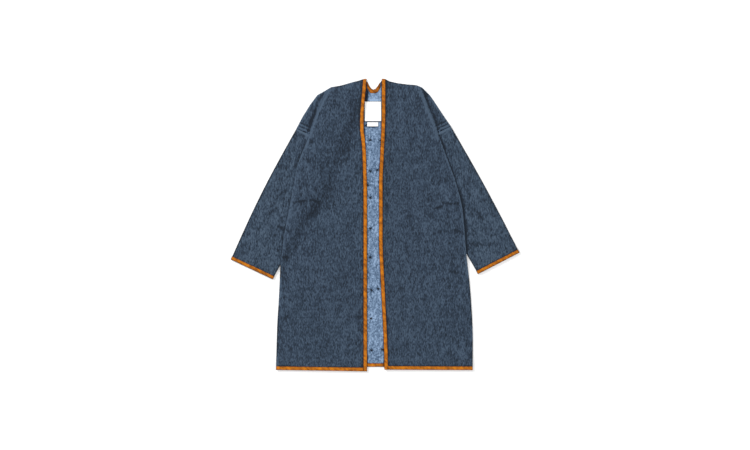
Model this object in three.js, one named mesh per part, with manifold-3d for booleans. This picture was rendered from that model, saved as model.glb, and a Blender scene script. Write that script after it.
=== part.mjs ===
// Kimono coat laid flat and open: drop shoulders, straight sleeves pulled down, every edge bound with tape.
// Millimetres. It lies on the plane z = 0 with its neck towards +Y and its front up. The origin is on that
// plane, in the middle of the outline. Left and right are as seen from above: left is on -X. "out" is the
// distance from the centre line on either half, "y" the place along the coat, "z" a height over the plane.
import * as THREE from "three";
import { mergeVertices } from "three/addons/utils/BufferGeometryUtils.js";
import Module from "manifold-3d";

const wasm = await Module();
wasm.setup();

// Cloth
const CLOTH = 1.8; // outer cloth and its backing, quilted together
const SLEEVE_CLOTH = 1.6;
const LINING_CLOTH = 1.0;
const LABEL_CLOTH = 0.8;
const TAPE = 1.0;
const TAPE_WIDTH = 13; // as seen from above, with its turn over the edge
const GAP = 0.3; // between pieces that are sewn to each other or lie on each other
const MERGE = 1e-4;

// Heights of the undersides, from the lowest layer up
const TAPE_LIFT = TAPE + GAP; // a bound edge stands on the tape round it
const SEAM = CLOTH + GAP; // a front where it meets the back in a seam
const SLEEVE_ON_BACK = SEAM + 0.5;
const SLEEVE_HOLLOW = 0.6;
const CUFF_HOLLOW = 3.4;
const SLEEVE_TOP = SLEEVE_ON_BACK + 2 * SLEEVE_CLOTH + SLEEVE_HOLLOW;
const FOLD_HOLLOW = 0.5; // inside the fold of a front over its sleeve
const FOLD_DROP = CLOTH + FOLD_HOLLOW;
const SHELF = SLEEVE_TOP + GAP + 0.2 + FOLD_DROP; // a front over a sleeve and its own turned-in part
const CAP_SEAM = SLEEVE_ON_BACK + SLEEVE_CLOTH + SLEEVE_HOLLOW; // the shoulder where the sleeve is set in
const BODY = 4.2; // a front over the bare back
const HEM = 3 * TAPE_LIFT + CLOTH + GAP; // a front's hem over the back's taped hem

// Places along the coat
const NECK_Y = 526.8;
const BACK_HEM_Y = -511.5;
const BACK_HEM_SIDE_Y = -515;
const SEAM_RAMP = 24; // from a side seam up to the body's height
const SHELF_RAMP = 30; // from a sleeve's hidden edge down to the body's height
const HEM_RAMP = 70;
const SHOULDER_RAMP = 42;
const TAPE_REACH = TAPE_WIDTH - TAPE_LIFT; // how far the tape covers the cloth

// The outline of each half. opening: the taped front edge. shoulder: from the neck to the shoulder point.
// cap: on to the drop seam of the sleeve. fold: the front's edge over the sleeve, then the side seam.
const HALVES = {
  left: {
    sign: -1,
    opening: [
      { y: 527, out: 31 }, { y: 469, out: 36 }, { y: 407, out: 41 }, { y: 350, out: 42.5 },
      { y: 306, out: 37 }, { y: 263, out: 33.3 }, { y: 133, out: 29.6 }, { y: -530, out: 29.3 },
    ],
    shoulder: [
      { out: 31, y: 527 }, { out: 43, y: 526 }, { out: 57, y: 521 }, { out: 87, y: 513.5 },
      { out: 122, y: 503 }, { out: 160, y: 496.5 }, { out: 168, y: 491.5 },
    ],
    cap: [{ out: 209, y: 468 }, { out: 235.5, y: 432.5 }, { out: 262.5, y: 389 }, { out: 284, y: 348 }],
    fold: [
      { y: 491.5, out: 168 }, { y: 475, out: 172.5 }, { y: 449, out: 189 }, { y: 412, out: 207 },
      { y: 346, out: 231.5 }, { y: 317, out: 240 }, { y: 280, out: 255 }, { y: 220, out: 280.5 },
      { y: 90, out: 304.5 }, { y: -36, out: 329 }, { y: -146, out: 342 }, { y: -261, out: 347 },
      { y: -354, out: 353.5 }, { y: -522, out: 358 },
    ],
    hem: { openingY: -527.5, sideY: -522.5 },
    sleeve: {
      cuffOut: 521, cuffY: -124.5, innerCuffOut: 369.5, innerCuffY: -196, armOut: 121, armY: 271, bulge: 8.5,
    },
  },
  right: {
    sign: 1,
    opening: [
      { y: 527, out: 23.5 }, { y: 393, out: 23.5 }, { y: 306, out: 20.5 }, { y: 241, out: 17 },
      { y: 176, out: 13.5 }, { y: -83, out: 13.5 }, { y: -213, out: 20.5 }, { y: -300, out: 24.5 },
      { y: -430, out: 31 }, { y: -530, out: 33 },
    ],
    shoulder: [
      { out: 23.5, y: 527 }, { out: 37, y: 526 }, { out: 52, y: 517.5 }, { out: 79, y: 511.5 },
      { out: 112, y: 507 }, { out: 149, y: 504 }, { out: 169, y: 495.5 },
    ],
    cap: [{ out: 196.5, y: 468 }, { out: 217.5, y: 437.5 }, { out: 246, y: 394 }, { out: 272.5, y: 356 }],
    fold: [
      { y: 495.5, out: 169 }, { y: 466, out: 176 }, { y: 427, out: 190 }, { y: 368, out: 214 },
      { y: 310, out: 233.5 }, { y: 231, out: 262.5 }, { y: 165, out: 287.5 }, { y: 109, out: 303 },
      { y: 69, out: 314 }, { y: -5, out: 321 }, { y: -101, out: 327.5 }, { y: -223, out: 342 },
      { y: -319, out: 348.5 }, { y: -395, out: 352 }, { y: -519, out: 351 },
    ],
    hem: { openingY: -521.5, sideY: -523 },
    sleeve: {
      cuffOut: 520, cuffY: -99.5, innerCuffOut: 370.5, innerCuffY: -177, armOut: 112, armY: 275, bulge: 5,
    },
  },
};

// The taped neck of the back, from the left shoulder's neck point to the right one.
const NECK = [
  { x: -36, y: 526.8 }, { x: -30, y: 517.5 }, { x: -24, y: 505 }, { x: -18, y: 495.5 },
  { x: -12, y: 490 }, { x: -6, y: 488.3 }, { x: 1.5, y: 491 }, { x: 9.5, y: 501 },
  { x: 18, y: 514.7 }, { x: 27, y: 526.8 },
];

// Height of a front's underside along its opening edge, and how far in from the edge it is felt.
const OPENING_HEIGHTS = [
  { y: 527, z: 4.7, spread: 30 }, { y: 511, z: 6.6, spread: 34 }, { y: 498, z: 8.8, spread: 44 },
  { y: 482, z: 10.6, spread: 56 }, { y: 462, z: 11.2, spread: 66 }, { y: 436, z: 10.4, spread: 68 },
  { y: 405, z: 8.4, spread: 60 }, { y: 370, z: 6.9, spread: 48 }, { y: 330, z: 5.4, spread: 34 },
  { y: 290, z: 4.8, spread: 26 }, { y: -430, z: 4.8, spread: 26 }, { y: -485, z: 6.1, spread: 26 },
  { y: -530, z: 6.1, spread: 26 },
];

// Soft folds of the fronts: from one place to another, with the width and the rise of each.
const FOLDS = [
  { half: "left", out: 118, y: 410, toOut: 150, toY: 190, width: 34, rise: -0.9 },
  { half: "left", out: 190, y: 230, toOut: 215, toY: 60, width: 40, rise: 1.5 },
  { half: "left", out: 90, y: 93, toOut: 250, toY: 96, width: 22, rise: 0.9 },
  { half: "left", out: 60, y: -336, toOut: 330, toY: -336, width: 24, rise: 1.2 },
  { half: "left", out: 235, y: 40, toOut: 330, toY: -190, width: 36, rise: -0.7 },
  { half: "left", out: 130, y: -80, toOut: 160, toY: -430, width: 46, rise: 1.3 },
  { half: "right", out: 60, y: 93, toOut: 240, toY: 70, width: 22, rise: 1.0 },
  { half: "right", out: 60, y: -336, toOut: 330, toY: -336, width: 24, rise: 1.2 },
  { half: "right", out: 95, y: 430, toOut: 120, toY: 120, width: 42, rise: 1.2 },
  { half: "right", out: 150, y: 10, toOut: 170, toY: -400, width: 48, rise: 1.4 },
  { half: "right", out: 215, y: -20, toOut: 300, toY: -25, width: 20, rise: -0.8 },
];

// Labels on the lining under the neck
const LABELS = [
  { name: "label_main", left: -38, right: 21.5, top: 445, bottom: 374.5 },
  { name: "label_small", left: -29, right: 10.5, top: 370.5, bottom: 355.5 },
];

// How finely each piece is divided
const FRONT_ROWS = [
  -497, -462, -420, -370, -336, -300, -255, -205, -172, -145, -110, -70, -30, 10, 50, 93, 130, 170, 210, 248,
  282, 314, 346, 376, 404, 428, 449, 465, 478,
];
const MIDDLE_COLUMNS = 4;
const WRAP_STEPS = 4;
const UNDER_STEPS = 3;
const BACK_ROWS = [0.03, 0.13, 0.25, 0.37, 0.49, 0.61, 0.73, 0.83, 0.91, 0.955, 0.985];
const SLEEVE_STATIONS = [0, 0.06, 0.14, 0.23, 0.32, 0.42, 0.52, 0.62, 0.72, 0.82, 0.9, 0.95];
const SLEEVE_ACROSS = [0, 0.12, 0.3, 0.5, 0.7, 0.88, 1];
const ARC_ANGLES = [-Math.PI / 5, Math.PI / 5];

const mix = (from, to, share) => from + (to - from) * share;
const clamp = (value, low, high) => Math.min(Math.max(value, low), high);
const last = (list) => list[list.length - 1];

/** 0 below nought, 1 above one, and a soft step between. */
function soft(share) {
  const t = clamp(share, 0, 1);
  return t * t * (3 - 2 * t);
}

/** One column of a table at a place between its rows, which run up or down by the key. */
function read(table, column, place, key = "y") {
  const rising = last(table)[key] > table[0][key];
  const rows = rising ? table : [...table].reverse();
  const at = clamp(place, rows[0][key], last(rows)[key]);
  const next = Math.max(1, rows.findIndex((row) => row[key] >= at));
  const [a, b] = [rows[next - 1], rows[next]];
  return mix(a[column], b[column], (at - a[key]) / (b[key] - a[key]));
}

/** A point on the way from one point to another, in the plane. */
const between = (a, b, share) => ({ x: mix(a.x, b.x, share), y: mix(a.y, b.y, share) });
const distance = (a, b) => Math.hypot(b.x - a.x, b.y - a.y);

/** The direction in the plane from one point to another. */
function heading(a, b) {
  const length = distance(a, b);
  return { x: (b.x - a.x) / length, y: (b.y - a.y) / length };
}

const moved = (point, direction, by) => ({ x: point.x + direction.x * by, y: point.y + direction.y * by });
const raised = (point, z) => new THREE.Vector3(point.x, point.y, z);

/** A closed solid from corners and triangles: equal corners are joined and empty triangles are dropped. */
function closed(corners, triangles) {
  const loose = new THREE.BufferGeometry();
  const numbers = corners.flatMap((corner) => [corner.x, corner.y, corner.z]);
  loose.setAttribute("position", new THREE.Float32BufferAttribute(numbers, 3));
  loose.setIndex(triangles);
  const joined = mergeVertices(loose, MERGE);
  const index = joined.index.array;
  const place = joined.getAttribute("position");
  const kept = [];
  let volume = 0;
  const [a, b, c] = [new THREE.Vector3(), new THREE.Vector3(), new THREE.Vector3()];
  for (let i = 0; i < index.length; i += 3) {
    const [p, q, r] = [index[i], index[i + 1], index[i + 2]];
    if (p === q || q === r || r === p) continue;
    kept.push(p, q, r);
    a.fromBufferAttribute(place, p);
    b.fromBufferAttribute(place, q);
    c.fromBufferAttribute(place, r);
    volume += a.dot(b.cross(c));
  }
  joined.setIndex(volume < 0 ? kept.reverse() : kept);
  return joined;
}

/** A wall between two skins of equal rows and columns. A ring's columns close on themselves. */
function wall(outer, inner, ring = false) {
  const rows = outer.length;
  const columns = outer[0].length;
  const corners = [...outer.flat(), ...inner.flat()];
  const at = (skin, row, column) => (skin * rows + row) * columns + (column % columns);
  const triangles = [];
  const quad = (p, q, r, s) => triangles.push(p, q, r, p, r, s);
  const spans = ring ? columns : columns - 1;
  for (let row = 0; row + 1 < rows; row += 1) {
    for (let column = 0; column < spans; column += 1) {
      const [next, up] = [column + 1, row + 1];
      quad(at(0, row, column), at(0, row, next), at(0, up, next), at(0, up, column));
      quad(at(1, row, column), at(1, up, column), at(1, up, next), at(1, row, next));
    }
  }
  for (let column = 0; column < spans; column += 1) {
    const next = column + 1;
    quad(at(0, 0, column), at(1, 0, column), at(1, 0, next), at(0, 0, next));
    quad(at(0, rows - 1, column), at(0, rows - 1, next), at(1, rows - 1, next), at(1, rows - 1, column));
  }
  if (!ring) {
    for (let row = 0; row + 1 < rows; row += 1) {
      const end = columns - 1;
      quad(at(0, row, 0), at(0, row + 1, 0), at(1, row + 1, 0), at(1, row, 0));
      quad(at(0, row, end), at(1, row, end), at(1, row + 1, end), at(0, row + 1, end));
    }
  }
  return closed(corners, triangles);
}

/** A sheet on rows of points that give its underside. */
function sheet(rows, thickness) {
  const top = rows.map((row) => row.map((p) => raised(p, p.z + thickness)));
  const bottom = rows.map((row) => row.map((p) => raised(p, p.z)));
  return wall(top, bottom);
}

/**
 * Tape folded round an edge. Each station has the cloth's edge and the point where the tape ends on the
 * cloth, each with the cloth's underside z, and the way out of the cloth.
 */
function tape(stations, thickness) {
  const outer = [];
  const inner = [];
  for (const { edge, end, away } of stations) {
    const nose = moved(edge, away, TAPE_LIFT);
    const round = moved(edge, away, GAP);
    const low = edge.z - GAP;
    const high = edge.z + thickness + GAP;
    const endLow = end.z - GAP;
    const endHigh = end.z + thickness + GAP;
    const third = (high - low) / 3;
    outer.push([
      raised(end, endLow - TAPE), raised(round, low - TAPE), raised(nose, low + third - TAPE / 2),
      raised(nose, high - third + TAPE / 2), raised(round, high + TAPE), raised(end, endHigh + TAPE),
    ]);
    inner.push([
      raised(end, endLow), raised(round, low), raised(round, low),
      raised(round, high), raised(round, high), raised(end, endHigh),
    ]);
  }
  return wall(outer, inner);
}

/** The fold line of a half, and what lies under it, as numbers in its own "out" and "y". */
function layout(half) {
  const { sleeve } = half;
  const point = last(half.shoulder);
  const seam = last(half.cap);
  const foldOut = (y) => read(half.fold, "out", y);
  const backOut = (y) => Math.max(foldOut(y), seam.out);
  const hidden = [
    { y: sleeve.innerCuffY, out: sleeve.innerCuffOut },
    { y: sleeve.armY, out: sleeve.armOut },
    { y: point.y, out: point.out - 26 },
  ];
  const slope = (hidden[1].out - hidden[0].out) / (hidden[1].y - hidden[0].y);
  const hiddenOut = (y) =>
    y < hidden[0].y ? hidden[0].out + slope * (y - hidden[0].y) : read(hidden, "out", y);
  const reach = (y) => foldOut(y) - hiddenOut(y);
  const under = (y) => {
    const widest = 30 + 60 * soft((seam.y - y) / 70);
    const width = Math.min(0.62 * reach(y) - 3, widest) * soft((point.y - y) / 25);
    return width < 5 ? 0 : width;
  };
  const shelf = (y) => {
    const height = mix(SEAM, SHELF, soft((point.y - y) / 28) * soft((reach(y) + 40) / 42));
    return mix(HEM, height, soft((y - half.hem.sideY - TAPE_REACH) / HEM_RAMP));
  };
  return { point, seam, foldOut, backOut, reach, under, shelf };
}

/** The rise of the soft folds of a half at one place. */
function foldRise(name, out, y) {
  let rise = 0;
  for (const fold of FOLDS) {
    if (fold.half !== name) continue;
    const run = { x: fold.toOut - fold.out, y: fold.toY - fold.y };
    const length = Math.hypot(run.x, run.y);
    const along = ((out - fold.out) * run.x + (y - fold.y) * run.y) / length;
    const across = ((out - fold.out) * run.y - (y - fold.y) * run.x) / length;
    const past = Math.max(0, -along, along - length);
    rise += fold.rise * Math.exp(-((across / fold.width) ** 2) - (past / (2 * fold.width)) ** 2);
  }
  return rise;
}

/** Underside height of a front at a distance from its opening and from its fold. */
function frontHeight(name, plan, place) {
  const { y, openingY, fromOpening, fromFold, out } = place;
  const half = HALVES[name];
  const overHem = soft((y - half.hem.sideY - TAPE_REACH) / HEM_RAMP);
  const overShoulder = soft((plan.point.y - y) / SHOULDER_RAMP);
  const base = mix(HEM, mix(SEAM, BODY, overShoulder), overHem);
  const edge = read(OPENING_HEIGHTS, "z", openingY);
  const spread = read(OPENING_HEIGHTS, "spread", openingY);
  const nearOpening = 1 - soft(fromOpening / spread);
  const reach = plan.reach(y);
  const ramp = reach > 0 ? SHELF_RAMP : SEAM_RAMP;
  const nearFold = 1 - soft((fromFold - Math.max(reach, 2)) / ramp);
  const body = (1 - nearOpening) * (1 - nearFold);
  const loose = soft(fromFold / 40) * soft((fromOpening - TAPE_REACH) / 40) * overHem * overShoulder;
  return (
    base * body + plan.shelf(y) * nearFold * (1 - nearOpening) + edge * nearOpening +
    foldRise(name, out, y) * loose
  );
}

/** Rows of places of a front, from its hem to its shoulder, each from the opening edge to the fold. */
function frontRows(name) {
  const half = HALVES[name];
  const plan = layout(half);
  const hemY = half.hem.sideY + TAPE_LIFT;
  const sides = [hemY, hemY + TAPE_REACH, ...FRONT_ROWS, plan.point.y];
  return sides.map((y, index) => {
    const rise = (y - hemY) / (plan.point.y - hemY);
    const openingY = y + mix(half.hem.openingY - half.hem.sideY, NECK_Y - plan.point.y, rise);
    const opening = { x: read(half.opening, "out", openingY) + TAPE_LIFT, y: openingY };
    const under = index === 0 ? 0 : plan.under(y);
    const fold = { x: plan.foldOut(y), y };
    const length = distance(opening, fold);
    const shelf = Math.max(plan.reach(y), 9);
    const trim = under > 0 ? CLOTH + FOLD_HOLLOW / 2 : 0; // the round of the fold
    const foot = length - shelf - SHELF_RAMP;
    const steps = [0, TAPE_REACH, 2.3 * TAPE_REACH];
    for (let step = 1; step <= MIDDLE_COLUMNS; step += 1) {
      steps.push(mix(2.3 * TAPE_REACH, foot, step / MIDDLE_COLUMNS));
    }
    steps.push(foot + SHELF_RAMP / 2);
    [1, 0.66, 0.33].forEach((part) => steps.push(length - part * shelf));
    steps.push(length - trim);
    const line = steps.map((step) => {
      const place = between(opening, fold, step / length);
      const bend = read(half.shoulder, "y", place.x, "out") - mix(NECK_Y, plan.point.y, step / length);
      const lift = bend * soft((rise - 0.8) / 0.2);
      const height = frontHeight(name, plan, {
        y, openingY, out: place.x, fromOpening: step, fromFold: length - step,
      });
      return { x: place.x, y: place.y + lift, z: height };
    });
    return { line, under, y, fold, openingY, length };
  });
}

const mirrored = (half, point) => new THREE.Vector3(half.sign * point.x, point.y, point.z);

/** The front's main sheet, turned in under itself where it lies over the sleeve. */
function foldedSheet(name, rows) {
  const half = HALVES[name];
  const plan = layout(half);
  const outer = [];
  const inner = [];
  const middle = CLOTH / 2;
  const radius = (CLOTH + FOLD_HOLLOW) / 2;
  rows.forEach(({ line, under, y, fold, openingY, length }, index) => {
    const top = line.map((p) => raised(p, p.z + CLOTH));
    const bottom = line.map((p) => raised(p, p.z));
    const end = last(line);
    const inward = heading(fold, line[0]);
    const below = rows[Math.max(index - 1, 0)].fold;
    const above = rows[Math.min(index + 1, rows.length - 1)].fold;
    const run = heading(below, above);
    const away = { x: run.y, y: -run.x };
    for (let step = 1; step <= WRAP_STEPS + UNDER_STEPS; step += 1) {
      if (under === 0) {
        top.push(last(top));
        bottom.push(last(bottom));
      } else if (step <= WRAP_STEPS) {
        const angle = Math.PI / 2 - (Math.PI * step) / WRAP_STEPS;
        const centre = end.z + middle - radius;
        const [side, up] = [Math.cos(angle), Math.sin(angle)];
        top.push(raised(moved(end, away, (radius + middle) * side), centre + (radius + middle) * up));
        bottom.push(raised(moved(end, away, (radius - middle) * side), centre + (radius - middle) * up));
      } else {
        const depth = (under * (step - WRAP_STEPS)) / UNDER_STEPS;
        const place = moved(end, inward, depth);
        const height = frontHeight(name, plan, {
          y, openingY, out: place.x, fromOpening: length - depth, fromFold: depth,
        });
        top.push(raised(place, height - FOLD_DROP));
        bottom.push(raised(place, height - FOLD_HOLLOW));
      }
    }
    outer.push(top.map((p) => mirrored(half, p)));
    inner.push(bottom.map((p) => mirrored(half, p)));
  });
  return wall(outer, inner);
}

/** The shoulder of a front beyond its fold, out to the drop seam; its inner edge joins the turned-in part. */
function shoulderCap(name) {
  const half = HALVES[name];
  const plan = layout(half);
  const { point, seam } = plan;
  const outline = [{ x: point.out, y: point.y }, ...half.cap.map((p) => ({ x: p.out, y: p.y }))];
  const across = seamHeading(half);
  const seamEnd = moved({ x: seam.out, y: seam.y }, across, 88);
  const top = { x: point.out - 18, y: point.y - 16 };
  const shares = [0, 0.07, 0.3, 0.6, 0.84, 1];
  const rows = outline.map((edge, index) => {
    const share = index / (outline.length - 1);
    const innerY = mix(top.y, seamEnd.y, share);
    const innerOut = plan.foldOut(innerY) - Math.max(plan.under(innerY), 8) - 4;
    const innerEnd = index === 0 ? top : { x: innerOut, y: innerY };
    const level = mix(SEAM, CAP_SEAM, soft(1.3 * share));
    const joined = plan.shelf(innerY) - FOLD_DROP - 0.35;
    return shares.map((part, column) => {
      const place = between(edge, innerEnd, part);
      const z = column === 0 ? SEAM : column < 4 ? level : Math.max(joined, SEAM);
      return { x: half.sign * place.x, y: place.y, z };
    });
  });
  return sheet(rows, CLOTH);
}

/** The way across a sleeve, from its outer edge to its inner one. */
function seamHeading(half) {
  const { sleeve } = half;
  return heading({ x: last(half.cap).out, y: last(half.cap).y }, { x: sleeve.armOut, y: sleeve.armY });
}

/** A manifold solid of a closed geometry, and back. */
function toManifold(geometry) {
  const vertProperties = new Float32Array(geometry.getAttribute("position").array);
  const triVerts = new Uint32Array(geometry.index.array);
  return new wasm.Manifold(new wasm.Mesh({ numProp: 3, vertProperties, triVerts }));
}

function toGeometry(manifold) {
  const { vertProperties, triVerts } = manifold.getMesh();
  const geometry = new THREE.BufferGeometry();
  geometry.setAttribute("position", new THREE.BufferAttribute(vertProperties, 3));
  geometry.setIndex(new THREE.BufferAttribute(triVerts, 1));
  return geometry;
}

function front(name, rows) {
  return toGeometry(toManifold(foldedSheet(name, rows)).add(toManifold(shoulderCap(name))));
}

/** Tape along a front's opening edge, past the corner of the hem by its own thickness. */
function frontTape(name, rows) {
  const half = HALVES[name];
  const stations = rows.map(({ line }) => ({ edge: line[0], end: line[1] }));
  const [first, second] = stations;
  const past = (a, b) => {
    const place = moved(a, heading(b, a), TAPE_LIFT);
    return { ...place, z: a.z };
  };
  stations.unshift({ edge: past(first.edge, second.edge), end: past(first.end, second.end) });
  return tape(
    stations.map(({ edge, end }) => {
      const out = heading(end, edge);
      const flip = (p) => ({ x: half.sign * p.x, y: p.y, z: p.z });
      return { edge: flip(edge), end: flip(end), away: { x: half.sign * out.x, y: out.y } };
    }),
    CLOTH,
  );
}

/** Tape along a front's hem, from the front tape to the side seam. */
function hemTape(name, rows) {
  const half = HALVES[name];
  const [edgeRow, endRow] = [rows[0].line, rows[1].line];
  const flip = (p) => ({ x: half.sign * p.x, y: p.y, z: p.z });
  const start = (row) => {
    const share = (GAP + 0.1) / distance(row[1], row[2]);
    return { ...between(row[1], row[2], share), z: mix(row[1].z, row[2].z, share) };
  };
  const edges = [start(edgeRow), ...edgeRow.slice(2)].map(flip);
  const ends = [start(endRow), ...endRow.slice(2)].map(flip);
  return tape(edges.map((edge, i) => ({ edge, end: ends[i], away: { x: 0, y: -1 } })), CLOTH);
}

/** Rows of the back's underside, from its hem to its neck and shoulders, left to right. */
function backRows() {
  const { left, right } = HALVES;
  const plans = { left: layout(left), right: layout(right) };
  const neck = NECK.map((p) => ({ x: p.x, y: p.y - TAPE_LIFT, neck: true }));
  const arm = (half) => [...half.cap].reverse().concat([...half.shoulder].reverse().slice(0, -2));
  const top = [
    ...arm(left).map((p) => ({ x: -p.out, y: p.y })),
    ...neck,
    ...arm(right).map((p) => ({ x: p.out, y: p.y })).reverse(),
  ];
  const sideLeft = (y) => ({ x: -plans.left.backOut(y), y });
  const sideRight = (y) => ({ x: plans.right.backOut(y), y });
  const shares = top.map((p) => (p.x - top[0].x) / (last(top).x - top[0].x));
  const hem = (lift) =>
    shares.map((share) => ({
      x: mix(sideLeft(BACK_HEM_SIDE_Y).x, sideRight(BACK_HEM_SIDE_Y).x, share),
      y: mix(BACK_HEM_SIDE_Y, BACK_HEM_Y, soft(4 * share * (1 - share))) + lift,
    }));
  const shoulderRow = top.map((p, column) => {
    const before = top[Math.max(column - 1, 0)];
    const after = top[Math.min(column + 1, top.length - 1)];
    const slope = (after.y - before.y) / (after.x - before.x);
    const drop = p.neck ? Math.min(TAPE_REACH * Math.hypot(1, slope), 21) : TAPE_REACH + 2;
    return { x: p.x, y: p.y - drop };
  });
  const endY = shoulderRow[0].y;
  const endRightY = last(shoulderRow).y;
  shoulderRow[0] = sideLeft(endY);
  shoulderRow[shoulderRow.length - 1] = sideRight(endRightY);
  const low = hem(TAPE_LIFT + TAPE_REACH);
  const rows = BACK_ROWS.map((rise) => {
    const start = sideLeft(mix(low[0].y, endY, rise));
    const end = sideRight(mix(last(low).y, endRightY, rise));
    return shares.map((share, column) => {
      const sides = between(start, end, share);
      const ends = between(low[column], shoulderRow[column], rise);
      const corners = between(
        between(low[0], last(low), share),
        between(shoulderRow[0], last(shoulderRow), share),
        rise,
      );
      return { x: sides.x + ends.x - corners.x, y: sides.y + ends.y - corners.y, z: 0 };
    });
  });
  const bound = (row) => row.map((p) => ({ ...p, z: TAPE_LIFT }));
  const boundNeck = (row) => row.map((p, column) => ({ ...p, z: top[column].neck ? TAPE_LIFT : 0 }));
  return [bound(hem(TAPE_LIFT)), bound(low), ...rows, boundNeck(shoulderRow), boundNeck(top)];
}

/** Columns of the back that the lining covers. */
function liningColumns() {
  const arm = HALVES.left.cap.length + HALVES.left.shoulder.length - 2;
  return { first: arm - 2, end: arm + NECK.length + 2 };
}

/**
 * The lining on the inside of the back, from tape to tape, as far out as the fronts hide its edges. Its
 * outer columns stop short of the shoulder seams.
 */
function lining(rows) {
  const { first, end } = liningColumns();
  const inside = rows.slice(1, -1).map((row) =>
    row.slice(first, end).map((p, column) => {
      const toSide = Math.min(column, end - first - 1 - column);
      const drop = [36, 14][toSide] ?? 0;
      return { x: p.x, y: p.y - drop * soft((p.y - 400) / 105), z: p.z + CLOTH + GAP };
    }),
  );
  return sheet(inside, LINING_CLOTH);
}

const shortened = (edge, end) => ({ ...between(end, edge, 0.4 / distance(edge, end)), z: end.z });

function backHemTape(rows) {
  const [edges, ends] = rows;
  return tape(
    edges.map((edge, i) => ({ edge, end: shortened(edge, ends[i]), away: { x: 0, y: -1 } })),
    CLOTH,
  );
}

/** Tape round the back's neck; it starts and ends clear of the shoulder points, under the front tapes. */
function neckTape(rows) {
  const arm = HALVES.left.cap.length + HALVES.left.shoulder.length - 2;
  const edges = last(rows);
  const ends = rows[rows.length - 2];
  const stations = [];
  for (let column = arm + 1; column < arm + NECK.length - 1; column += 1) {
    const run = heading(edges[column - 1], edges[column + 1]);
    const away = { x: -run.y, y: run.x };
    stations.push({ edge: edges[column], end: shortened(edges[column], ends[column]), away });
  }
  return tape(stations, CLOTH);
}

/** The rings of a sleeve: for each station, the outer and the inner skin and the ways out of the wall. */
function sleeveRings(name) {
  const half = HALVES[name];
  const plan = layout(half);
  const { sleeve } = half;
  const seam = { x: plan.seam.out, y: plan.seam.y };
  const cuff = { x: sleeve.cuffOut, y: sleeve.cuffY };
  const arm = { x: sleeve.armOut, y: sleeve.armY };
  const innerCuff = { x: sleeve.innerCuffOut, y: sleeve.innerCuffY };
  const down = heading(seam, cuff);
  const length = distance(seam, cuff);
  const clear = GAP / length;
  const edge = 1 - TAPE_LIFT / length;
  const shares = [clear, ...SLEEVE_STATIONS.slice(1), edge - TAPE_REACH / length, edge];
  return shares.map((share) => {
    const fromCuff = (1 - share) * length;
    const opened = 1 - soft((fromCuff - TAPE_WIDTH) / 32);
    const hollow = mix(SLEEVE_HOLLOW, CUFF_HOLLOW, opened);
    const bow = sleeve.bulge * Math.sin(Math.PI * share);
    const start = moved(between(seam, cuff, share), { x: -down.y, y: down.x }, bow);
    const end = between(arm, innerCuff, share);
    const across = heading(start, end);
    const width = distance(start, end);
    const radius = SLEEVE_CLOTH + hollow / 2;
    const middle = radius - SLEEVE_CLOTH / 2;
    const inset = (part) => radius + (width - 2 * radius) * part;
    const ring = [];
    const flat = (parts, up) => parts.forEach((part) => ring.push({ from: inset(part), round: 0, up, part }));
    const arc = (angles, part, way) =>
      angles.forEach((angle) => {
        ring.push({ from: inset(part), round: way * Math.cos(angle), up: Math.sin(angle), part });
      });
    flat(SLEEVE_ACROSS, -1);
    arc(ARC_ANGLES, 1, 1);
    flat([...SLEEVE_ACROSS].reverse(), 1);
    arc([...ARC_ANGLES].reverse(), 0, -1);
    const skins = { outer: [], inner: [], ways: [] };
    for (const { from, round, up, part } of ring) {
      const centre = moved(start, across, from);
      const inBack = plan.backOut(centre.y) - centre.x;
      const lift = SLEEVE_ON_BACK * soft((inBack + 30) / 20);
      const shown = soft((-4 - inBack) / 50);
      const puff = up > 0.9 ? 2.2 * Math.sin(Math.PI * part) * shown * (1 - opened) : 0;
      const base = Math.max(lift, TAPE_LIFT * opened) + radius + puff;
      const skin = (reach) => {
        const place = moved(centre, across, round * reach);
        return mirrored(half, raised(place, base + up * reach));
      };
      skins.outer.push(skin(middle + SLEEVE_CLOTH / 2));
      skins.inner.push(skin(middle - SLEEVE_CLOTH / 2));
      skins.ways.push(new THREE.Vector3(half.sign * across.x * round, across.y * round, up));
    }
    return { ...skins, down: new THREE.Vector3(half.sign * down.x, down.y, 0) };
  });
}

function sleeve(rings) {
  return wall(rings.map((ring) => ring.outer), rings.map((ring) => ring.inner), true);
}

/** Tape folded round the open end of a sleeve. */
function cuffTape(rings) {
  const edge = last(rings);
  const end = rings[rings.length - 2];
  const off = (points, ways, by, along = 0) =>
    points.map((p, i) => p.clone().addScaledVector(ways[i], by).addScaledVector(edge.down, along));
  const middle = edge.outer.map((p, i) => p.clone().add(edge.inner[i]).multiplyScalar(0.5));
  const short = (a, b) => a.map((p, i) => p.clone().lerp(b[i], 0.04));
  const endOuter = short(end.outer, edge.outer);
  const endInner = short(end.inner, edge.inner);
  const skin = (by) => [
    off(endOuter, end.ways, by),
    off(edge.outer, edge.ways, by, 0.35 * by),
    off(middle, edge.ways, 0, by),
    off(edge.inner, edge.ways, -by, 0.35 * by),
    off(endInner, end.ways, -by),
  ];
  return wall(skin(TAPE_LIFT), skin(GAP), true);
}

/** A label: a small sheet on the lining. */
function label({ left, right, top, bottom }) {
  const z = CLOTH + GAP + LINING_CLOTH + GAP;
  const rows = [bottom, (bottom + top) / 2, top];
  return sheet(rows.map((y) => [left, (left + right) / 2, right].map((x) => ({ x, y, z }))), LABEL_CLOTH);
}

const materials = {
  outer: { color: 0x3c4959, roughness: 0.95, metalness: 0 },
  lining: { color: 0x768da6, roughness: 0.95, metalness: 0 },
  tape: { color: 0xb56b1e, roughness: 0.85, metalness: 0 },
  label: { color: 0xf7f7f5, roughness: 0.7, metalness: 0 },
};

const coat = new THREE.Group();

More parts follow.
